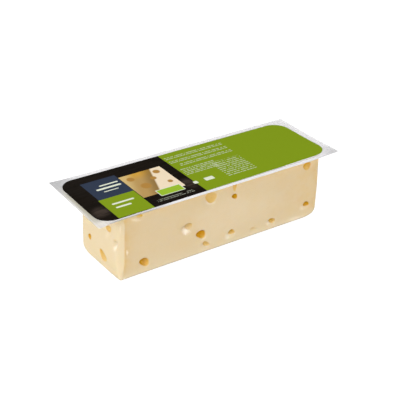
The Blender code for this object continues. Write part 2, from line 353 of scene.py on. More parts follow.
class CheeseSettings(bpy.types.PropertyGroup):
    """Colours and surface of the cheese."""

    paste: colour_property("Paste", "Colour of the cut cheese", (0.622, 0.496, 0.312))
    # Also the colour of the painted shade towards the right end
    deep: colour_property(
        "Deeper paste", "Colour of the cheese near its edges and in its warmer patches", (0.600, 0.416, 0.190)
    )
    # Painted light and a painted highlight: paler on the near flat, the left end and the foot
    pale: colour_property(
        "Pale edge", "Colour along the near upright edge and the foot", (0.68, 0.575, 0.385)
    )
    # Painted light: how much brighter the cheese is painted under the flange, against the shadow that the
    # flange casts
    lit: FloatVectorProperty(
        name="Lit edge",
        description="How much brighter the cheese is under the flange, which lets light through to it",
        default=(1.50, 1.42, 1.24),
        min=1.0,
        max=2.0,
    )
    # Painted highlights: whitish where the film is drawn in beside the eyes, at the near edge and at the foot
    moist: colour_property(
        "Painted highlights", "Colour of the painted highlights where the film is drawn in beside the eyes", (0.84, 0.745, 0.60)
    )
    golden: colour_property("Shallow eye", "Colour inside the shallower eyes", (0.62, 0.41, 0.13))
    eye: colour_property("Eye", "Colour inside the deepest eyes", (0.52, 0.262, 0.004))
    # Painted shade: the colour with which the steep side of the deepest eyes is painted darker
    shaded: colour_property(
        "Eye, shaded side", "Colour under the upper rim of the deepest eyes", (0.40, 0.190, 0.004)
    )
    waves: length_property("Waves", "How far the cut faces stray from flat", 0.0003, 0.0, 0.002)
    spokes: IntProperty(
        name="Spokes", description="How many points go round each eye", default=36, min=12, max=64
    )


class FilmSettings(bpy.types.PropertyGroup):
    """The formed film and the lid film."""

    tint: colour_property("Tint", "Colour of the film where it is milky", (0.93, 0.92, 0.94))
    warm: colour_property(
        "Warm tint", "Colour of the milky film beside the label's dark end", (0.48, 0.45, 0.30)
    )
    wet_gloss: share_property(
        "Wet gloss", "How much more the film mirrors where the vacuum draws it into the cheese", 0.018, 0.5
    )
    # Painted reflection at two tips and a painted shadow line along the outermost front, in this grey
    shade: colour_property("Shade", "Colour of the greyer parts of the milky film", (0.55, 0.55, 0.56))
    thickness: length_property("Thickness", "Thickness of each film", 0.00012, 0.00005, 0.001)
    haze: share_property("Haze", "How milky the film is where it is sealed", 0.42)
    forming_radius: length_property(
        "Forming radius", "Radius with which the walls turn out into the flange", 0.0012, 0.0003, 0.004
    )


class LabelSettings(bpy.types.PropertyGroup):
    """The printed label."""

    green: colour_property("Green", "Main colour", (0.207, 0.300, 0.0100))
    black: colour_property("Black", "Dark end", (0.0040, 0.0026, 0.0012))
    navy: colour_property("Navy", "Dark blue panel", (0.029, 0.041, 0.071))
    pale: colour_property("Pale", "Light print", (0.72, 0.76, 0.62))
    wood: colour_property("Wood grain", "Grain on the dark end", (0.05, 0.036, 0.028))
    badge: colour_property("Badge", "Light green badge", (0.30, 0.48, 0.03))
    picture_top: colour_property("Picture, back", "Back of the picture field", (0.60, 0.33, 0.05))
    picture_low: colour_property("Picture, middle", "Middle of the picture field", (0.46, 0.29, 0.10))
    picture_left: colour_property("Picture, left", "Left part of the picture field", (0.64, 0.48, 0.21))
    picture_dark: colour_property("Picture, dark", "Darkest part of the picture field", (0.22, 0.13, 0.04))
    picture_light: colour_property("Picture, light", "Light part of the picture field", (0.83, 0.69, 0.50))
    picture_disc: colour_property("Picture, discs", "Discs in the picture field", (0.42, 0.22, 0.05))
    corner: length_property("Corner radius", "Radius of the label's corners", 0.021, 0.001, 0.04)
    thickness: length_property("Thickness", "Thickness of the label", 0.0001, 0.00005, 0.001)


class StageSettings(bpy.types.PropertyGroup):
    """Floor and lights."""

    floor: colour_property("Floor", "Colour of the floor", (0.40, 0.40, 0.40))
    glow: FloatProperty(
        name="Floor glow", description="How much brighter the floor looks than the light that it throws back",
        default=0.78, min=0.0, max=2.0,
    )
    sky: FloatProperty(name="Sky", description="Strength of the even light", default=0.70, min=0.0, max=5.0)
    key: power_property("Key light", "Power of the large light at the upper left", 19.5)
    fill: power_property(
        "Fill light", "Power of the two lights behind the pack and beyond its far end", 10.8
    )
    front: power_property(
        "Front light", "Power of the large light before the pack, above the viewer's left shoulder", 4.3
    )
    side: power_property("Side light", "Power of the low lights that the film mirrors", 12.9)


def graded(start, end, fine, coarse, zone):
    """Positions from start to end: fine steps near both ends, coarse ones further than zone from them."""
    half = (end - start) / 2
    steps = [0.0]
    while steps[-1] < half:
        steps.append(steps[-1] + fine + (coarse - fine) * min(1.0, steps[-1] / zone))
    steps = np.array(steps) * half / steps[-1]
    return np.concatenate([start + steps, (end - steps[:-1])[::-1]])


def round_join(first, second, radius):
    """Distance past two crossing faces whose shared edge is rounded."""
    outside = np.hypot(np.maximum(first + radius, 0.0), np.maximum(second + radius, 0.0))
    return np.minimum(np.maximum(first, second), -radius) + outside


def soft_join(first, second, width):
    """The larger of two distances, with the crease between them eased."""
    ease = np.maximum(width - np.abs(first - second), 0.0)
    return np.maximum(first, second) + ease * ease / (4 * width)


def near_edge(past_end, past_side, height, floor, inset):
    """Distance past the near upright edge, a flat that is widest at mid-height."""
    grown = smooth_step(height - floor, *NEAR_FLAT_GROWS) * smooth_step(height, *NEAR_FLAT_SHRINKS)
    size = NEAR_FLAT_LEAST + (1 - NEAR_FLAT_LEAST) * grown
    on_end, on_side = (NEAR_FLAT_END - inset) * size, (NEAR_FLAT_SIDE - inset) * size
    flat = (past_end / on_side + past_side / on_end + 1) / np.hypot(1 / on_side, 1 / on_end)
    return soft_join(soft_join(past_end, flat, NEAR_CREASE_END * size), past_side, NEAR_CREASE_SIDE * size)


def block_distance(points, low, high, inset, top_radius=None):
    """How far points lie outside the rounded block between two corners, open upward with no top radius."""
    middle, half = (low + high) / 2, (high - low) / 2
    past = np.abs(points - middle) - half
    right, back = points[:, 0] > middle[0], points[:, 1] > middle[1]
    radius = {edge: max(size - inset, LEAST_RADIUS) for edge, size in EDGE_RADIUS.items()}
    upright = np.where(right, np.where(back, radius[1, 1, 0], radius[1, -1, 0]), radius[-1, 1, 0])
    end_foot = np.where(right, radius[1, 0, -1], radius[-1, 0, -1])
    side_foot = np.where(back, radius[0, 1, -1], radius[0, -1, -1])
    end_share, side_share = (np.maximum(past[:, k] + CORNER_BLEND, 0.0) ** 2 + TINY for k in (0, 1))
    foot = (end_foot * end_share + side_foot * side_share) / (end_share + side_share)
    wall = round_join(past[:, 0], past[:, 1], upright)
    near = near_edge(past[:, 0], past[:, 1], points[:, 2], low[2], inset)
    wall = np.where(right | back, wall, near)
    distance = round_join(wall, low[2] - points[:, 2], foot)
    if top_radius is not None:
        distance = round_join(distance, points[:, 2] - high[2], top_radius)
    return distance


def onto_block(points, low, high, inset, top_radius=None):
    """Moves points of the sharp block onto the rounded one, and returns them with their normals."""
    core_low, core_high = low + CORE, high - CORE
    if top_radius is None:
        core_high[2] = high[2] + CORE
    start = np.clip(points, core_low, core_high)
    aim = points - start
    near, far = np.zeros(len(points)), np.ones(len(points))
    for _ in range(HALVINGS):
        share = (near + far) / 2
        outside = block_distance(start + aim * share[:, None], low, high, inset, top_radius) > 0
        near, far = np.where(outside, near, share), np.where(outside, share, far)
    placed = start + aim * far[:, None]
    slopes = [
        block_distance(placed + SLOPE_STEP * axis, low, high, inset, top_radius)
        - block_distance(placed - SLOPE_STEP * axis, low, high, inset, top_radius)
        for axis in np.eye(3)
    ]
    normals = np.stack(slopes, axis=1)
    return placed, normals / np.linalg.norm(normals, axis=1)[:, None]


def leaned(points):
    """Points of the body with its right end leaning out."""
    placed = points.copy()
    lower = np.clip((LEAN_TOP - points[:, 2]) / LEAN_HEIGHT, 0.0, 1.0)
    placed[:, 0] += END_LEAN * smooth_step(points[:, 0], BODY_HIGH[0] - LEAN_LENGTH, BODY_HIGH[0]) * lower
    return placed


def scattered_eyes(count, seed, length, low, high):
    """Eyes for a face out of sight, spread unevenly over length, between two levels, as in the CAD."""
    draw = random.Random(seed)
    eyes = []
    while len(eyes) < count:
        along = draw.uniform(-length / 2 + EYE_MARGIN, length / 2 - EYE_MARGIN)
        up = draw.uniform(low + EYE_MARGIN, high - EYE_MARGIN)
        width = draw.uniform(*EYE_WIDTHS)
        height = width * draw.uniform(*EYE_HEIGHTS)
        depth = width * draw.uniform(*EYE_DEPTHS)
        apart = [math.hypot(along - eye.along, up - eye.up) for eye in eyes]
        if min(apart, default=length) > EYE_SPACING:
            # The deeper an eye is for its width, the more amber
            tone = min(1.0, max(0.2, (depth / width - 0.1) * 3.2))
            eyes.append(Eye(along, up, width, height, depth, tone, 0.0, 0.2 * depth, 1.7, 900.0 * along))
    return eyes


def eyes_by_face():
    """The eyes of each face, with their middles in the two coordinates that the face spans."""
    length, width = CHEESE_HIGH[0] - CHEESE_LOW[0], CHEESE_HIGH[1] - CHEESE_LOW[1]
    floor, height = CHEESE_LOW[2], CHEESE_HIGH[2] - CHEESE_LOW[2]
    found = {
        "front": FRONT_EYES,
        "left": LEFT_EYES,
        "back": scattered_eyes(BACK_COUNT, BACK_SEED, length, floor, height),
        "right": scattered_eyes(RIGHT_COUNT, RIGHT_SEED, width, floor, height),
        "bottom": scattered_eyes(BOTTOM_COUNT, BOTTOM_SEED, length, -width / 2, width / 2),
        "top": (),
    }
    for name in ("front", "back", "bottom"):
        found[name] = [eye._replace(along=eye.along + BODY_X) for eye in found[name]]
    for name in ("left", "right"):
        found[name] = [eye._replace(along=eye.along + BODY_Y) for eye in found[name]]
    found["bottom"] = [eye._replace(up=eye.up + BODY_Y) for eye in found["bottom"]]
    return found


def dimple_of(eye):
    """The wider hollow that the vacuum draws below and beside an eye."""
    return eye._replace(
        along=eye.along + DIMPLE_ASIDE[0] * eye.width, up=eye.up + DIMPLE_ASIDE[1] * eye.height,
        width=DIMPLE_WIDTH * eye.width, height=DIMPLE_WIDTH * eye.height, depth=eye.dip,
    )


def painted_highlights_of(name, eyes):
    """The painted highlights of a face: measured on the two faces in view, and below every eye on the others.
    """
    if name == "front":
        return [patch._replace(along=patch.along + BODY_X) for patch in FRONT_PAINTED_HIGHLIGHTS]
    if name == "left":
        return [patch._replace(along=patch.along + BODY_Y) for patch in LEFT_PAINTED_HIGHLIGHTS]
    return [
        Patch(eye.along - 0.4 * eye.width, eye.up - 0.6 * eye.height, eye.width, 0.8 * eye.height, -0.5, 0.6)
        for eye in eyes
    ]


def eye_outline(eye, angle):
    """The eye's reach in each direction, as a share of its ellipse."""
    # Each eye strays in its own way, by its place
    phase = 60.0 * eye.along + 90.0 * eye.up
    twice, thrice = EYE_WOBBLE
    return 1.0 + twice * np.cos(2 * angle + phase) + thrice * np.cos(3 * (angle + eye.turn - eye.corner))


def eye_axes(eye):
    """The directions of the eye's width and of its height, as columns."""
    across, up = math.cos(eye.turn), math.sin(eye.turn)
    return np.array(((across, -up), (up, across)))


def eye_ring(eye, share, spokes):
    """Points at this share of the way from the eye's middle to its rim."""
    angle = np.arange(spokes) * 2 * math.pi / spokes
    reach = share * eye_outline(eye, angle)
    flat = np.stack([reach * np.cos(angle) * eye.width / 2, reach * np.sin(angle) * eye.height / 2], axis=1)
    return flat @ eye_axes(eye).T + (eye.along, eye.up)


def eye_share(eye, flat):
    """How far points of a face lie from the eye's middle, where 1 is its rim."""
    local = (flat - (eye.along, eye.up)) @ eye_axes(eye) / (eye.width / 2, eye.height / 2)
    return np.hypot(local[:, 0], local[:, 1]) / eye_outline(eye, np.arctan2(local[:, 1], local[:, 0]))


def eye_lean(eye, flat):
    """How far points lie from the eye's middle towards its steep side, where about a half is the rim."""
    away = flat - (eye.along, eye.up)
    return (away[:, 0] * math.cos(eye.dark) + away[:, 1] * math.sin(eye.dark)) * 2 / (eye.width + eye.height)


def along_table(table, values):
    """What a table of pairs gives at each value."""
    return np.interp(values, *zip(*table))


def blended(first, second, share):
    """The first value moved by a share of the way to the second."""
    return first + (second - first) * share


def triangulated(flat, loops=()):
    """Triangles between flat points. Each loop is a run of point numbers whose edges are kept."""
    edges = [(a, b) for loop in loops for a, b in zip(loop, loop[1:] + loop[:1])]
    # In millimetres, which suit the gap of 1e-5 at which Blender's function joins points
    found = geometry.delaunay_2d_cdt([Vector(1000 * point) for point in flat], edges, [], 0, 1e-5, True)
    origin = [ids[0] for ids in found[3]]
    return np.array([[origin[corner] for corner in face] for face in found[2]])


def face_points(lines_across, lines_up, eyes, profile, spokes, coarse):
    """Points of a face: a grid, with rings round each eye in place of the grid's points there."""
    across, up = np.meshgrid(lines_across, lines_up)
    grid = np.stack([across.ravel(), up.ravel()], axis=1)
    last = profile[-1][0]
    for eye in eyes:
        # The grid keeps nearly half a coarse step away from the rings
        margin = 0.9 * coarse / min(eye.width, eye.height)
        grid = grid[eye_share(eye, grid) > last + margin]
    rings = [np.array([(eye.along, eye.up)]) for eye in eyes]
    for eye in eyes:
        rings += [eye_ring(eye, share, spokes) for share, _ in profile[1:]]
    return np.concatenate([grid, *rings])


def eye_hollow(eye, flat, fall):
    """The depth and the amber tone of an eye at points of its face, with painted shade on its steep side and
    painted light on its gentle one, and how far inside it they lie.
    """
    share, lean = eye_share(eye, flat), eye_lean(eye, flat)
    drawn = smooth_step(eye.dip, *DRAWN_DIPS)
    gentle = np.clip(0.5 - 1.6 * lean, 0.0, 1.0) * (0.4 + 0.6 * drawn)
    bowl = blended(along_table(EYE_BOWL, share), along_table(DIMPLE, share), gentle)
    amber = blended(along_table(AMBER_STEEP, share), along_table(AMBER_GENTLE, share), gentle * drawn)
    # Painted shade darkens the steep side and painted light brightens the gentle one
    painted_shading = 1 + np.where(lean > 0, EYE_PAINTED_SHADE, EYE_PAINTED_LIGHT) * lean
    # The hole goes down from the dimple's own surface, so that the film stays above its floor
    depth = fall + (eye.depth - 0.5 * eye.dip) * bowl
    return depth, eye.tone * amber * painted_shading, smooth_step(share, 1.15, 0.8)


def block_faces(low, high, grid, spokes, cheese):
    """The points of a sharp block's faces and their triangles, and for each point its depth, its amber
    tone with the eyes' painted shade, how much painted highlight it has and the direction inward.

    The cheese has all faces, with eyes. The film has no top, and only the dimples that the vacuum draws."""
    eyes = eyes_by_face()
    lines = [graded(low[axis], high[axis], *grid) for axis in range(3)]
    parts, count = [], 0
    for name, across, up, facing, side, turned in FACES if cheese else FACES[:-1]:
        dimples = [dimple_of(eye) for eye in eyes[name]]
        ringed, profile = (eyes[name], EYE_BOWL) if cheese else (dimples, DIMPLE)
        flat = face_points(lines[across], lines[up], ringed, profile, spokes, grid[1])
        faces = triangulated(flat)
        points = np.zeros((len(flat), 3))
        points[:, across], points[:, up] = flat[:, 0], flat[:, 1]
        points[:, facing] = high[facing] if side > 0 else low[facing]
        depth, tone, moist, inside = (np.zeros(len(flat)) for _ in range(4))
        for eye, dimple in zip(eyes[name], dimples):
            fall = dimple.depth * along_table(DIMPLE, eye_share(dimple, flat))
            depth = np.maximum(depth, fall)
            if cheese:
                hollow = eye_hollow(eye, flat, fall)
                depth, tone, inside = (np.maximum(*pair) for pair in zip((depth, tone, inside), hollow))
        # Painted highlights, none inside the eyes
        for patch in painted_highlights_of(name, eyes[name]):
            share = smooth_step(eye_share(patch, flat), 1.1, 0.2)
            moist = np.maximum(moist, patch.strength * share * (1 - inside))
        direction = np.zeros((len(flat), 3))
        direction[:, facing] = -side
        parts.append((points, (faces[:, ::-1] if turned else faces) + count, depth, tone, moist, direction))
        count += len(flat)
    return tuple(np.concatenate(part) for part in zip(*parts))


def gentle_waves(points, seed):
    """A smooth unevenness from -1 to 1, the same wherever it is asked for the same point."""
    draw = np.random.default_rng(seed)
    total = np.zeros(len(points))
    for length, weight in WAVES:
        direction = draw.normal(size=(3, 3))
        direction /= np.linalg.norm(direction, axis=1)[:, None]
        phase = draw.uniform(0, 2 * math.pi, 3)
        total += weight * np.prod(np.sin(points @ direction.T * 2 * math.pi / length + phase), axis=1)
    return total


def fading(distance, reach):
    """1 at no distance, falling off with it: to about a third over the given reach."""
    return np.exp(-distance / reach)


def edge_tints(points, normals):
    """How warm and how pale the cheese is near its edges, with painted shade towards the right end and painted
    light on the near flat and the foot, and how much brighter it is painted under the flange.
    """
    x, height = points[:, 0], points[:, 2]
    front = smooth_step(-normals[:, 1], 0.75, 0.98)
    # Warm along the near upright edge, the right end and the upper edge, towards that end and at the foot; the
    # deepening towards the right end is painted shade
    beside = x - (BODY_LOW[0] + NEAR_FLAT_SIDE)
    away = np.maximum(beside, 0.0)
    band = (0.8 + 0.35 * fading(height, 0.030)) * fading(away, 0.004)
    warm = front * smooth_step(beside, -0.002, 0.001) * (band + 0.25 * fading(away, 0.020))
    warm = np.maximum(warm, (0.3 + 0.6 * front) * fading(BODY_HIGH[0] - x, 0.011))
    warm = np.maximum(warm, 0.45 * fading(BODY_HIGH[2] - height, 0.009))
    # Painted shade: deeper and darker towards the right end
    warm = warm + 0.22 * smooth_step(x, 0.075, 0.135) + 0.25 * fading(height, 0.008)
    # Painted light, paler on the near flat and the left end and at the foot, and a painted highlight at the
    # foot's near corner
    turned = smooth_step(-normals[:, 0], 0.15, 0.5)
    foot = smooth_step(-normals[:, 2], 0.05, 0.4) * smooth_step(-normals[:, 2], 0.97, 0.8)
    foot = np.maximum(0.4 * foot, (0.3 + 0.75 * front) * fading(height, 0.010))
    corner = np.exp(-((np.linalg.norm(points - BODY_LOW, axis=1) / 0.008) ** 2))
    pale = np.maximum(0.5 * turned, np.maximum(foot, corner))
    # Painted light under the flange, against the shadow that it casts
    lit = np.exp(-((np.maximum(BODY_HIGH[2] - height, 0.0) / 0.010) ** 1.5))
    return tuple(np.clip(share, 0.0, 1.0) for share in (warm * (1 - corner), pale, lit))


def merged(points, triangles, *fields):
    """Joins the points that share a place, and drops triangles that this closes."""
    places = np.round(points, PLACE_DIGITS)
    _, first, index = np.unique(places, axis=0, return_index=True, return_inverse=True)
    triangles = index.reshape(-1)[triangles]
    a, b, c = triangles.T
    triangles = triangles[(a != b) & (b != c) & (c != a)]
    return (points[first], triangles, *(field[first] for field in fields))


def linked(name, data):
    """An object with the given data, in the scene."""
    obj = bpy.data.objects.new(name, data)
    bpy.context.scene.collection.objects.link(obj)
    return obj


def mesh_object(name, points, triangles, **fields):
    """A smooth object with a mesh of its own, and one number at each point for each named field."""
    mesh = bpy.data.meshes.new(name)
    mesh.from_pydata(points.tolist(), [], triangles.tolist())
    for field, values in fields.items():
        layer = mesh.attributes.new(field, "FLOAT", "POINT")
        layer.data.foreach_set("value", values.astype(np.float32))
    mesh.shade_smooth()
    mesh.update()
    return linked(name, mesh)


def thickened(obj, thickness, offset):
    """Gives a sheet its thickness in its own mesh, with crisp edges round it."""
    modifier = obj.modifiers.new("Sheet thickness", "SOLIDIFY")
    modifier.thickness = thickness
    modifier.offset = offset
    modifier.use_even_offset = False
    bpy.context.view_layer.update()
    shown = obj.evaluated_get(bpy.context.evaluated_depsgraph_get())
    obj.data = bpy.data.meshes.new_from_object(shown)
    obj.modifiers.clear()
    obj.data.set_sharp_from_angle(angle=CRISP_ANGLE)


def stand_for(piece, node):
    """Puts a piece in place of a CAD node."""
    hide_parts(node)
    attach(piece, "root")


def smooth_step(values, start, end):
    """From 0 at the start to 1 at the end, eased at both."""
    share = np.clip((values - start) / (end - start), 0.0, 1.0)
    return share * share * (3 - 2 * share)


def film_lift(flat):
    """How far the flange, the lid and the label bend up from the flat at points of the level plane."""
    x, y = flat[:, 0], flat[:, 1]
    past = np.maximum(0.0, OVERHANG_START - x) / (OVERHANG_START - FLANGE_LOW[0])
    bend = past**2 * (OVERHANG_DROP + OVERHANG_TWIST * y / FLANGE_HIGH[1])
    outside = np.maximum(np.maximum(BODY_LOW[0] - x, x - BODY_HIGH[0]), np.abs(y) - BODY_HIGH[1])
    tip = smooth_step(x, TIP_START[0], FLANGE_HIGH[0]) * smooth_step(-y, -TIP_START[1], FLANGE_HIGH[1])
    ripple = RIPPLE * np.sin(x / 0.0085 + 1.7 * np.sin(y / 0.02)) * np.sin(x / 0.031 + y / 0.012 + 0.8)
    return bend + TIP_LIFT * tip + smooth_step(outside, *RIPPLE_ZONE) * ripple


def lifted(flat, level):
    """Flat points put at a level and bent as the flange is."""
    return np.concatenate([flat, (level + film_lift(flat))[:, None]], axis=1)


def inside_loop(flat, loop):
    """Whether points lie inside a closed run of points."""
    x, y = flat[:, 0][:, None], flat[:, 1][:, None]
    x0, y0 = loop[:, 0][None], loop[:, 1][None]
    x1, y1 = np.roll(x0, -1), np.roll(y0, -1)
    crosses = (y0 > y) != (y1 > y)
    with np.errstate(divide="ignore", invalid="ignore"):
        at = x0 + (y - y0) * (x1 - x0) / (y1 - y0)
    return (np.sum(crosses & (x < at), axis=1) % 2).astype(bool)


def rounded_outline(low, high, radii, step):
    """Points round a rectangle with rounded corners, counterclockwise from the right front corner."""
    corners = (
        (high[0], low[1], 1, -1), (high[0], high[1], 1, 1), (low[0], high[1], -1, 1), (low[0], low[1], -1, -1)
    )
    run = []
    for k, ((x, y, across, up), radius) in enumerate(zip(corners, radii)):
        middle = np.array((x - across * radius, y - up * radius))
        turns = max(3, round(radius * math.pi / 2 / step))
        for turn in range(turns + 1):
            angle = math.pi / 2 * (k - 1 + turn / turns)
            point = middle + radius * np.array((math.cos(angle), math.sin(angle)))
            if run and turn == 0:
                run += between(run[-1], point, step)
            run.append(point)
    return np.array(run + between(run[-1], run[0], step))


def film_outline():
    """Points round the flange."""
    return rounded_outline(FLANGE_LOW[:2] + TRIM, FLANGE_HIGH[:2] - TRIM, FLANGE_CORNERS, SHEET_STEP)


def askew(flat):
    """The label's points laid askew: their lines slope towards the front and the right end."""
    x, y = flat.T
    right, back = ((flat - LABEL_LOW) / (LABEL_HIGH - LABEL_LOW)).T
    return np.stack([x - LABEL_TURN * right * y, y + (LABEL_TURN - LABEL_TAPER * back) * x], axis=1)


def between(start, end, step):
    """Points on the straight line from start to end, without its ends."""
    pieces = max(1, round(np.linalg.norm(end - start) / step))
    return [start + (end - start) * k / pieces for k in range(1, pieces)]


def sheet_mesh(outline, step, hole=None):
    """Flat points and triangles inside an outline, with a hole left open where one is given."""
    low, high = outline.min(axis=0), outline.max(axis=0)
    across, up = np.meshgrid(np.arange(low[0], high[0], step), np.arange(low[1], high[1], step))
    grid = np.stack([across.ravel(), up.ravel()], axis=1) + step / 2
    loops = [outline] if hole is None else [outline, hole]

    def within(points):
        return inside_loop(points, outline) & (hole is None or ~inside_loop(points, hole))

    near = np.linalg.norm(grid[:, None] - np.concatenate(loops)[None], axis=2).min(axis=1)
    flat = np.concatenate([*loops, grid[within(grid) & (near > step * 0.55)]])
    ends = np.cumsum([len(loop) for loop in loops])
    triangles = triangulated(flat, [list(range(end - len(loop), end)) for loop, end in zip(loops, ends)])
    return flat, triangles[within(flat[triangles].mean(axis=1))]


class Nodes:
    """The node tree of a material, or of the sky, filled one node at a time."""

    def __init__(self, name, store="materials", output="Material"):
        self.owner = getattr(bpy.data, store).new(name)
        self.owner.use_nodes = True
        self.tree = self.owner.node_tree
        self.tree.nodes.clear()
        self.output = self.tree.nodes.new("ShaderNodeOutput" + output)

    def add(self, kind, inputs=None, **settings):
        """A node with the given settings. An input is a value or another node's output."""
        node = self.tree.nodes.new(kind)
        for name, value in settings.items():
            setattr(node, name, value)
        for key, value in (inputs or {}).items():
            socket = node.inputs[key]
            if isinstance(value, bpy.types.NodeSocket):
                self.tree.links.new(value, socket)
            elif socket.type == "RGBA" and len(value) == 3:
                socket.default_value = (*value, 1.0)
            else:
                socket.default_value = value
        return node

    @cached_property
    def place(self):
        """The place on the object."""
        return self.add("ShaderNodeTexCoord").outputs["Object"]

    @cached_property
    def flat(self):
        """The place on the object, seen from above."""
        return self.vector("MULTIPLY", self.place, (1.0, 1.0, 0.0))

    @cached_property
    def axes(self):
        """The three numbers of the place, named X, Y and Z."""
        return self.add("ShaderNodeSeparateXYZ", {0: self.place}).outputs

    def math(self, operation, first, *others, clamp=False):
        """A number worked out from two others, and then from that and the next."""
        for other in others:
            inputs = {0: first, 1: other}
            first = self.add("ShaderNodeMath", inputs, operation=operation, use_clamp=clamp).outputs[0]
        return first

    def vector(self, operation, first, second=(0.0, 0.0, 0.0)):
        """A vector worked out from two others, or a number where the operation gives one."""
        node = self.add("ShaderNodeVectorMath", {0: first, 1: second}, operation=operation)
        return node.outputs["Value" if operation in ("LENGTH", "DISTANCE", "DOT_PRODUCT") else "Vector"]

    def mix(self, share, first, second):
        """A colour with a share of another."""
        return self.add("ShaderNodeMix", {0: share, 6: first, 7: second}, data_type="RGBA").outputs[2]

    def layered(self, colour, layers):
        """A colour under layers, each with its share and its colour."""
        for share, other in layers:
            colour = self.mix(share, colour, other)
        return colour

    def spread(self, value, low, high, to_low=0.0, to_high=1.0):
        """The value moved from one range to another, held at its ends."""
        inputs = {0: value, 1: low, 2: high, 3: to_low, 4: to_high}
        return self.add("ShaderNodeMapRange", inputs, interpolation_type="SMOOTHSTEP").outputs[0]

    def zone(self, bands):
        """1 in a zone that bands along the axes bound, and 0 outside it."""
        return self.math("MULTIPLY", *(self.spread(self.axes[axis], *band) for axis, *band in bands))

    def noise(self, scale, detail=3.0, roughness=0.5, stretch=None, place=None):
        """A smooth unevenness, which may be stretched and be that of another place."""
        place = self.place if place is None else place
        if stretch:
            place = self.vector("MULTIPLY", place, stretch)
        inputs = {"Vector": place, "Scale": scale, "Detail": detail, "Roughness": roughness}
        return self.add("ShaderNodeTexNoise", inputs).outputs["Fac"]

    def attribute(self, name):
        """A number that the mesh carries at each point."""
        return self.add("ShaderNodeAttribute", attribute_name=name).outputs["Fac"]

    def bump(self, height, strength, distance):
        """The normal of an uneven surface."""
        inputs = {"Strength": strength, "Distance": distance, "Height": height}
        return self.add("ShaderNodeBump", inputs).outputs[0]

    def shader(self, kind, inputs=None):
        """A shader of the given kind."""
        return self.add("ShaderNode" + kind, inputs).outputs[0]

    def finish(self, shader):
        """The material or the sky, with its shader in place."""
        self.tree.links.new(shader, self.output.inputs["Surface"])
        return self.owner


def cheese_material(settings):
    """Pale paste, warmer near the edges and in patches, amber inside the eyes, under a wet-looking surface,
    with painted light, painted highlights and painted shade.
    """
    nodes = Nodes("cheese_paste")
    patches = nodes.spread(nodes.noise(34.0, 3.0, 0.6), 0.40, 0.70, 0.0, 0.20)
    mottle = nodes.noise(210.0, 4.0, 0.6)
    uneven = nodes.spread(nodes.noise(120.0, 2.0), 0.35, 0.65, 0.55, 1.05)
    edges = nodes.math("MULTIPLY", nodes.attribute("warm"), uneven)
    warm = nodes.math("ADD", patches, edges, clamp=True)
    tone = nodes.attribute("eye")
    colour = nodes.layered(settings.paste, (
        (warm, settings.deep),
        (nodes.spread(mottle, 0.35, 0.7, 0.0, 0.10), settings.deep),
        # Painted light on the near flat, the left end and the foot
        (nodes.attribute("pale"), settings.pale),
        # Painted highlights
        (nodes.attribute("moist"), settings.moist),
        (nodes.spread(tone, 0.0, 0.55), settings.golden),
        (nodes.spread(tone, 0.5, 1.0), settings.eye),
        # Painted shade on the steep side of the deepest eyes
        (nodes.spread(tone, 0.95, 1.4), settings.shaded),
    ))
    # Painted light: brighter under the flange
    colour = nodes.mix(nodes.attribute("lit"), colour, nodes.vector("MULTIPLY", colour, settings.lit))
    return nodes.finish(nodes.shader("BsdfPrincipled", {
        "Base Color": colour,
        "Roughness": nodes.spread(mottle, 0.3, 0.7, 0.48, 0.62),
        "Specular IOR Level": 0.05,
        "Subsurface Weight": 0.3,
        "Subsurface Radius": (1.0, 0.6, 0.3),
        "Subsurface Scale": 0.0015,
        "Normal": nodes.bump(nodes.noise(900.0, 2.0), 0.12, 0.0003),
    }))


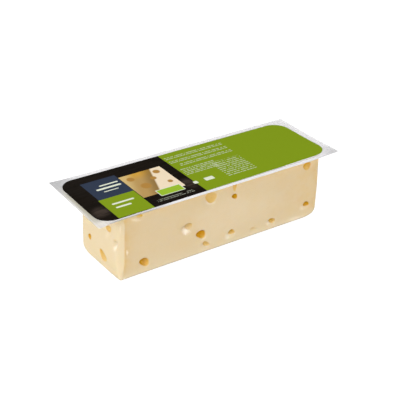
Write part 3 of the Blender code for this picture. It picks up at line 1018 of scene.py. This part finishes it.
def film_material(name, settings, sealed_from=None):
    """Clear glossy film, milky where it is sealed: above the given level, or all over."""
    nodes = Nodes(name)
    x, y, z = nodes.axes
    bump = nodes.bump(nodes.noise(160.0, 3.0, 0.55), 0.15, 0.0006)
    # Grey towards two of the tips, a painted reflection, and in stripes at the drooping corner
    tint = settings.tint
    for corner, reach, strength in GREY_TIPS:
        gap = nodes.vector("DISTANCE", nodes.flat, corner)
        tint = nodes.mix(nodes.spread(gap, 0.0, reach, strength, 0.0), tint, settings.shade)
    gap = nodes.spread(nodes.vector("DISTANCE", nodes.flat, DROOPING_CORNER), 0.034, 0.012)
    lines_end = nodes.noise(1.0, 3.0, 0.6, stretch=(1500.0, 25.0, 1.0))
    striped = nodes.math("MULTIPLY", gap, nodes.spread(lines_end, 0.35, 0.6, 0.1, 0.45))
    # Warm in streaks between the label and the left end, and grey along the outermost front, a painted shadow
    # line
    streaks = nodes.spread(lines_end, 0.3, 0.65, 0.6, 1.0)
    streaked = nodes.math("MULTIPLY", nodes.zone(WARM_END), streaks)
    lines_side = nodes.noise(1.0, 3.0, 0.6, stretch=(25.0, 1500.0, 1.0))
    along = nodes.math("MULTIPLY", nodes.zone(GREY_FRONT), nodes.spread(lines_side, 0.4, 0.6, 0.0, 0.25))
    along = nodes.math("MAXIMUM", along, nodes.zone(GREY_FRONT_LEFT))
    tint = nodes.layered(tint, ((striped, settings.shade), (streaked, settings.warm), (along, settings.shade)))
    # How milky: less so near the back and the right end, and most along the front, between the two tips
    if sealed_from is None:
        hazy = nodes.spread(nodes.noise(55.0, 2.0), 0.3, 0.7, settings.haze * 0.85, settings.haze * 1.15)
    else:
        hazy = nodes.spread(z, sealed_from - MILKY_RISE, sealed_from, 0.0, settings.haze)
    to_right, to_back = (nodes.math("SUBTRACT", FLANGE_HIGH[k], axis) for k, axis in enumerate((x, y)))
    past_end = nodes.math("SUBTRACT", MILKY_EDGE_END, x)
    edge = nodes.math("MAXIMUM", nodes.math("MINIMUM", to_right, to_back), past_end)
    share = nodes.math("MULTIPLY", hazy, nodes.spread(edge, 0.0, 0.008, 0.7, 1.0))
    for milky in (streaked, nodes.zone(MILKY_FRONT)):
        share = nodes.math("MAXIMUM", share, nodes.math("MULTIPLY", milky, 0.9))
    milk = nodes.shader(
        "BsdfPrincipled", {"Base Color": tint, "Roughness": 0.3, "Specular IOR Level": 0.2, "Normal": bump}
    )
    body = nodes.shader("MixShader", {0: share, 1: nodes.shader("BsdfTransparent"), 2: milk})
    # Gloss: little, more at grazing angles and where the vacuum draws the film into the cheese
    drawn = nodes.attribute("drawn")
    facing = nodes.add("ShaderNodeLayerWeight", {"Blend": 0.5, "Normal": bump}).outputs["Facing"]
    grazing = nodes.math("MULTIPLY", nodes.math("POWER", facing, 5.0), 0.25)
    gloss = nodes.math("ADD", grazing, 0.004, nodes.math("MULTIPLY", drawn, settings.wet_gloss))
    shine = nodes.shader("BsdfGlossy", {"Roughness": nodes.spread(drawn, 0.0, 1.0, 0.08, 0.2), "Normal": bump})
    return nodes.finish(nodes.shader("MixShader", {0: gloss, 1: body, 2: shine}))


def field_mask(nodes, middle, size, corner):
    """1 inside a rectangle of the label, whose corners may be rounded, and 0 outside it."""
    offset = nodes.vector("ABSOLUTE", nodes.vector("SUBTRACT", nodes.flat, (*middle, 0.0)))
    inner = (size[0] / 2 - corner, size[1] / 2 - corner, 0.0)
    past = nodes.vector("LENGTH", nodes.vector("MAXIMUM", nodes.vector("SUBTRACT", offset, inner)))
    return nodes.math("LESS_THAN", past, max(corner, SHARP_CORNER))


def broken_lines(nodes, middle, size, pitch, width):
    """1 on rows of fine lines broken at uneven places, inside a rectangle of the label."""
    x, y, _ = nodes.axes
    row = nodes.math("DIVIDE", nodes.math("SUBTRACT", y, middle[1] - size[1] / 2), pitch)
    line = nodes.math("LESS_THAN", nodes.math("FRACT", row, 0.0), width)
    number = nodes.math("MULTIPLY", nodes.math("FLOOR", row, 0.0), 9.7)
    along = nodes.add("ShaderNodeCombineXYZ", {0: nodes.math("MULTIPLY", x, 420.0), 1: number}).outputs[0]
    gaps = nodes.math("GREATER_THAN", nodes.noise(1.0, 1.0, place=along), 0.44)
    return nodes.math("MULTIPLY", field_mask(nodes, middle, size, 0.0), line, gaps)


def soft_spot(nodes, middle, size):
    """1 in the middle of an ellipse of the label, falling to 0 at its rim."""
    offset = nodes.vector("SUBTRACT", nodes.flat, (*middle, 0.0))
    reach = nodes.vector("LENGTH", nodes.vector("DIVIDE", offset, (size[0] / 2, size[1] / 2, 1.0)))
    return nodes.spread(reach, 1.0, 0.2)


def disc_mask(nodes, middle, radius):
    """1 on a disc of the label with a soft rim."""
    gap = nodes.vector("DISTANCE", nodes.flat, (*middle, 0.0))
    return nodes.spread(gap, radius * 1.15, radius * 0.75)


def picture_colour(nodes, settings):
    """The picture field: soft warm bands with discs."""
    x, y, _ = nodes.axes
    slant = nodes.math("ADD", x, nodes.math("MULTIPLY", y, PICTURE_SLANT))
    layers = [(nodes.spread(y, 0.008, 0.026), settings.picture_top)]
    for band, start, end, share in PICTURE_BANDS:
        layers.append((nodes.spread(slant, start, end, 0.0, share), getattr(settings, band)))
    layers += [(disc_mask(nodes, *disc), settings.picture_disc) for disc in PICTURE_DISCS]
    return nodes.layered(settings.picture_low, layers)


def label_material(settings):
    """The label's print: fields of colour, a dark wooden ground, plain bars and lines, in a satin gloss."""
    nodes = Nodes("label_print")
    x, y, _ = nodes.axes
    # Dark boards, whose grain shows in brown towards the front
    grain = nodes.spread(nodes.noise(1.0, 4.0, 0.6, stretch=(22.0, 260.0, 1.0)), 0.35, 0.65, 0.35, 1.0)
    boards = nodes.math("MAXIMUM", *(soft_spot(nodes, *spot) for spot in WOOD_LIGHT))
    lit = nodes.math("MULTIPLY", nodes.math("ADD", boards, 0.15, clamp=True), grain)
    wood = nodes.mix(lit, settings.black, settings.wood)
    upright = nodes.math("ADD", x, nodes.math("MULTIPLY", y, LABEL_TURN))
    fields = (
        (NAVY_PANEL, settings.navy),
        (GREEN_PANEL, settings.green),
        (PICTURE, picture_colour(nodes, settings)),
        (BADGE_EDGE, settings.pale),
        (BADGE, settings.badge),
        *((bar, settings.pale) for bar in (*NAVY_BARS, *GREEN_BARS, *PLATES)),
    )
    layers = [(nodes.math("LESS_THAN", upright, BLACK_END), wood)]
    layers += [(field_mask(nodes, *field), colour) for field, colour in fields]
    for *block, strength in LINE_BLOCKS:
        layers.append((nodes.math("MULTIPLY", broken_lines(nodes, *block), strength), settings.pale))
    fine = nodes.noise(900.0, 2.0)
    return nodes.finish(nodes.shader("BsdfPrincipled", {
        "Base Color": nodes.layered(settings.green, layers),
        "Roughness": nodes.spread(fine, 0.3, 0.7, 0.36, 0.44),
        "Specular IOR Level": 0.008,
        "Normal": nodes.bump(fine, 0.06, 0.0002),
    }))


def paper_material():
    """The label's white back and cut edge."""
    nodes = Nodes("label_back")
    share = nodes.spread(nodes.noise(800.0, 3.0), 0.3, 0.7)
    colour = nodes.mix(share, (0.80, 0.80, 0.80), (0.86, 0.86, 0.86))
    return nodes.finish(nodes.shader("BsdfPrincipled", {"Base Color": colour, "Roughness": 0.5}))


class CHEESEPACK_OT_cheese(bpy.types.Operator):
    """Builds the cheese block with its eyes"""

    bl_idname = "cheesepack.cheese"
    bl_label = "Build the cheese"
    bl_options = {"REGISTER", "UNDO"}

    def execute(self, context):
        settings = context.scene.cheesepack_cheese
        low, high = BODY_LOW + CHEESE_GAP, BODY_HIGH - CHEESE_GAP
        points, triangles, depth, tone, moist, inward = block_faces(
            low, high, CHEESE_GRID, settings.spokes, True
        )
        placed, normals = onto_block(points, low, high, CHEESE_GAP, CHEESE_TOP_RADIUS)
        warm, pale, lit = edge_tints(placed, normals)
        waves = settings.waves * (gentle_waves(placed, WAVES_SEED) - 1.0) / 2
        placed = leaned(placed + inward * depth[:, None] + normals * waves[:, None])
        placed, triangles, *fields = merged(placed, triangles, tone, warm, pale, lit, moist)
        fields = dict(zip(("eye", "warm", "pale", "lit", "moist"), fields))
        cheese = mesh_object("cheese", placed, triangles, **fields)
        cheese.data.materials.append(cheese_material(settings))
        stand_for(cheese, "cheese_block")
        return {"FINISHED"}


def ruffle(points):
    """How far the walls of the film stray outward at each point."""
    return RUFFLE * (gentle_waves(points * RUFFLE_SHORTER, RUFFLE_SEED) - 1.0)


def wall_mouth(low, high):
    """The open upper edge of the walls, counterclockwise, from which the film turns outward."""
    x_run, y_run = (graded(low[axis], high[axis], *FILM_GRID) for axis in range(2))
    return np.array(
        [(x, low[1], high[2]) for x in x_run[:-1]]
        + [(high[0], y, high[2]) for y in y_run[:-1]]
        + [(x, high[1], high[2]) for x in x_run[:0:-1]]
        + [(low[0], y, high[2]) for y in y_run[:0:-1]]
    )


def turned_out(mouth, outward, radius):
    """Rings of points that go on from the mouth of the walls, a quarter turn outward."""
    rings = []
    for k in range(TURN_STEPS + 1):
        angle = math.pi / 2 * k / TURN_STEPS
        out, rise = radius * (1 - math.cos(angle)), radius * math.sin(angle)
        ring = mouth + outward * out
        ring[:, 2] = mouth[:, 2] + rise + film_lift(ring) * (k / TURN_STEPS)
        rings.append(ring)
    return rings


def ring_triangles(size):
    """Triangles between these rings of size points, numbered on from ring to ring."""
    here, ahead = np.arange(size), (np.arange(size) + 1) % size
    bands = []
    for k in range(TURN_STEPS):
        a, b = here + k * size, ahead + k * size
        bands += [np.stack([a, b, b + size], 1), np.stack([a, b + size, a + size], 1)]
    return np.concatenate(bands)


class CHEESEPACK_OT_formed_film(bpy.types.Operator):
    """Builds the film that hugs the block, with its flange"""

    bl_idname = "cheesepack.formed_film"
    bl_label = "Build the formed film"
    bl_options = {"REGISTER", "UNDO"}

    def execute(self, context):
        settings = context.scene.cheesepack_film
        low, high = BODY_LOW + FILM_INSET, BODY_HIGH - FILM_INSET
        high[2] = FLANGE_FACE - settings.forming_radius
        points, triangles, depth, _, _, inward = block_faces(low, high, FILM_GRID, FILM_SPOKES, False)
        placed, normals = onto_block(points, low, high, FILM_INSET)
        placed = leaned(placed + inward * depth[:, None] + normals * ruffle(placed)[:, None])
        mouth, outward = onto_block(wall_mouth(low, high), low, high, FILM_INSET)
        mouth = mouth + outward * ruffle(mouth)[:, None]
        rings = turned_out(mouth, outward, settings.forming_radius)
        flat, sheet = sheet_mesh(film_outline(), SHEET_STEP, hole=rings[-1][:, :2])
        bend = ring_triangles(len(mouth)) + len(placed)
        every = np.concatenate([placed, *rings, lifted(flat, FLANGE_FACE)])
        drawn = np.zeros(len(every))
        drawn[: len(placed)] = smooth_step(depth, *WET_DEPTHS)
        faces = np.concatenate([triangles, bend, sheet + len(every) - len(flat)])
        placed, triangles, drawn = merged(every, faces, drawn)
        film = mesh_object("tray_film", placed, triangles, drawn=drawn)
        thickened(film, settings.thickness, -1.0)
        film.data.materials.append(film_material("formed_film_clear", settings, FLANGE_FACE - MILKY_BELOW))
        stand_for(film, "formed_film")
        return {"FINISHED"}


class CHEESEPACK_OT_lid_film(bpy.types.Operator):
    """Builds the flat film sealed over the top"""

    bl_idname = "cheesepack.lid_film"
    bl_label = "Build the lid film"
    bl_options = {"REGISTER", "UNDO"}

    def execute(self, context):
        settings = context.scene.cheesepack_film
        flat, triangles = sheet_mesh(film_outline(), SHEET_STEP)
        film = mesh_object("top_film", lifted(flat, LID_FACE), triangles)
        thickened(film, settings.thickness, 1.0)
        film.data.materials.append(film_material("lid_film_milky", settings))
        stand_for(film, "lid_film")
        return {"FINISHED"}


class CHEESEPACK_OT_label(bpy.types.Operator):
    """Builds the printed label on the lid film"""

    bl_idname = "cheesepack.label"
    bl_label = "Build the label"
    bl_options = {"REGISTER", "UNDO"}

    def execute(self, context):
        settings = context.scene.cheesepack_label
        corners = [settings.corner] * 4
        outline = askew(rounded_outline(LABEL_LOW, LABEL_HIGH, corners, LABEL_EDGE_STEP))
        flat, triangles = sheet_mesh(outline, LABEL_STEP)
        label = mesh_object("printed_label", lifted(flat, LABEL_FACE), triangles)
        thickened(label, settings.thickness, 1.0)
        label.data.materials.append(label_material(settings))
        label.data.materials.append(paper_material())
        for polygon in label.data.polygons:
            polygon.material_index = int(polygon.normal.z < 0.5)
        stand_for(label, "label")
        return {"FINISHED"}


def add_floor(settings):
    """A wide floor, which looks brighter to the viewer than the light that it throws back."""
    side = FLOOR_HALF_SIDE
    points = np.array([(-side, -side, 0.0), (side, -side, 0.0), (side, side, 0.0), (-side, side, 0.0)])
    floor = mesh_object("studio_floor", points, np.array([(0, 1, 2), (0, 2, 3)]))
    nodes = Nodes("studio_paper")
    seen = nodes.add("ShaderNodeLightPath").outputs["Is Camera Ray"]
    shader = nodes.shader("BsdfPrincipled", {
        "Base Color": settings.floor,
        "Roughness": 0.9,
        "Specular IOR Level": 0.0,
        "Emission Color": (1.0, 1.0, 1.0),
        "Emission Strength": nodes.math("MULTIPLY", seen, settings.glow),
    })
    floor.data.materials.append(nodes.finish(shader))


def add_sky(scene, strength):
    """An even light, brightest behind the viewer's left shoulder and darkest over the pack's far end."""
    nodes = Nodes("studio_sky", "worlds", "World")
    direction = nodes.add("ShaderNodeTexCoord").outputs["Generated"]
    along = nodes.vector("DOT_PRODUCT", direction, SKY_BRIGHTEST)
    shade = nodes.add("ShaderNodeMapRange", {0: along, 1: -0.75, 2: 0.8, 3: 0.22, 4: 1.3}).outputs[0]
    scene.world = nodes.finish(nodes.shader("Background", {"Color": shade, "Strength": strength}))


def add_softbox(name, power, place, size):
    """A rectangular light that points at the pack."""
    light = bpy.data.lights.new(name, "AREA")
    light.energy = power
    light.shape = "RECTANGLE"
    light.size, light.size_y = size
    lamp = linked(name, light)
    lamp.location = place
    lamp.rotation_euler = (LIGHTS_AIM - Vector(place)).to_track_quat("-Z", "Y").to_euler()


def add_camera(scene):
    """The camera, where the photograph was taken from."""
    lens = bpy.data.cameras.new("camera")
    lens.lens = CAMERA_LENS
    lens.sensor_width = CAMERA_SENSOR
    lens.clip_start = 0.05
    camera = linked("camera", lens)
    camera.matrix_world = Matrix.Translation(CAMERA_TARGET)
    for angle, axis in ((-CAMERA_YAW, "Z"), (math.pi / 2 - CAMERA_PITCH, "X"), (CAMERA_ROLL, "Z")):
        camera.matrix_world @= Matrix.Rotation(angle, 4, axis)
    camera.matrix_world @= Matrix.Translation((0.0, 0.0, CAMERA_DISTANCE))
    scene.camera = camera


class CHEESEPACK_OT_stage(bpy.types.Operator):
    """Builds the floor, the lights, the world and the camera"""

    bl_idname = "cheesepack.stage"
    bl_label = "Build the stage"
    bl_options = {"REGISTER", "UNDO"}

    def execute(self, context):
        settings = context.scene.cheesepack_stage
        scene = context.scene
        scene.view_settings.view_transform = "Standard"
        add_floor(settings)
        add_sky(scene, settings.sky)
        for name, source, share, place, size in SOFTBOXES:
            add_softbox(name, getattr(settings, source) * share, place, size)
        add_camera(scene)
        return {"FINISHED"}


class CHEESEPACK_PT_panel(bpy.types.Panel):
    """Lists the pieces of the pack with their sizes and colours"""

    bl_idname = "CHEESEPACK_PT_panel"
    bl_label = "Cheese Pack"
    bl_space_type = "VIEW_3D"
    bl_region_type = "UI"
    bl_category = "Cheese Pack"

    def draw(self, context):
        for group, operators in PANEL_ROWS:
            box = self.layout.box()
            settings = getattr(context.scene, group)
            for name in settings.__annotations__:
                box.prop(settings, name)
            for operator in operators:
                box.operator(operator)


SETTINGS = {
    "cheesepack_cheese": CheeseSettings,
    "cheesepack_film": FilmSettings,
    "cheesepack_label": LabelSettings,
    "cheesepack_stage": StageSettings,
}
OPERATORS = (
    CHEESEPACK_OT_cheese,
    CHEESEPACK_OT_formed_film,
    CHEESEPACK_OT_lid_film,
    CHEESEPACK_OT_label,
    CHEESEPACK_OT_stage,
)
PANEL_ROWS = (
    ("cheesepack_cheese", ("cheesepack.cheese",)),
    ("cheesepack_film", ("cheesepack.formed_film", "cheesepack.lid_film")),
    ("cheesepack_label", ("cheesepack.label",)),
    ("cheesepack_stage", ("cheesepack.stage",)),
)


def register():
    """Makes the settings, the operators and the panel known to Blender."""
    for name, group in SETTINGS.items():
        bpy.utils.register_class(group)
        setattr(bpy.types.Scene, name, PointerProperty(type=group))
    for operator in OPERATORS:
        bpy.utils.register_class(operator)
    bpy.utils.register_class(CHEESEPACK_PT_panel)


def unregister():
    """Takes them back."""
    bpy.utils.unregister_class(CHEESEPACK_PT_panel)
    for operator in reversed(OPERATORS):
        bpy.utils.unregister_class(operator)
    for name, group in SETTINGS.items():
        delattr(bpy.types.Scene, name)
        bpy.utils.unregister_class(group)


def main():
    """Builds the stage and the pieces."""
    register()
    bpy.ops.cheesepack.stage()
    bpy.ops.cheesepack.cheese()
    bpy.ops.cheesepack.formed_film()
    bpy.ops.cheesepack.lid_film()
    bpy.ops.cheesepack.label()


if __name__ == "__main__":
    main()
